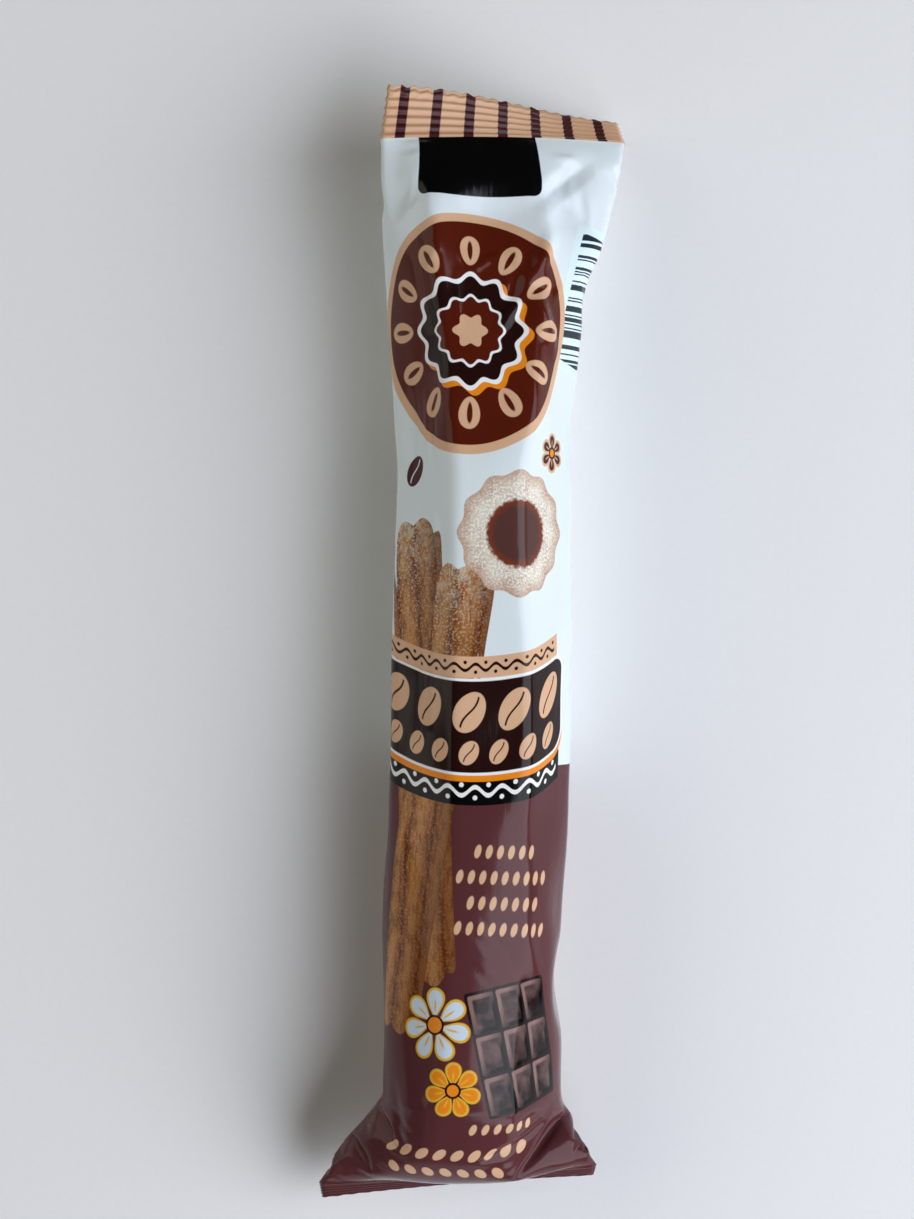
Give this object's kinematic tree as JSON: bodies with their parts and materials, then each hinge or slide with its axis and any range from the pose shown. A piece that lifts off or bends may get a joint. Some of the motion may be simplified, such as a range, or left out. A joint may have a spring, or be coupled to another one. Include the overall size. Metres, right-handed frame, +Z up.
{
  "type": "flow-wrapped snack pack",
  "caption": "Sealed pillow pack of printed film round a long filled pastry stick, lying flat, with crimped end seals, folded ears and a back seam.",
  "frame": {"origin": "on the floor, under the middle of the bounding box", "axes": "+Y along the pack towards its striped end, +X to the right as the shown side is looked down on, +Z up out of the shown side"},
  "size_m": [0.057, 0.206, 0.0341],
  "materials": {
    "film": "printed film, satin gloss"
  },
  "bodies": {
    "root": {"wrapper": "film"}
  },
  "joints": []
}
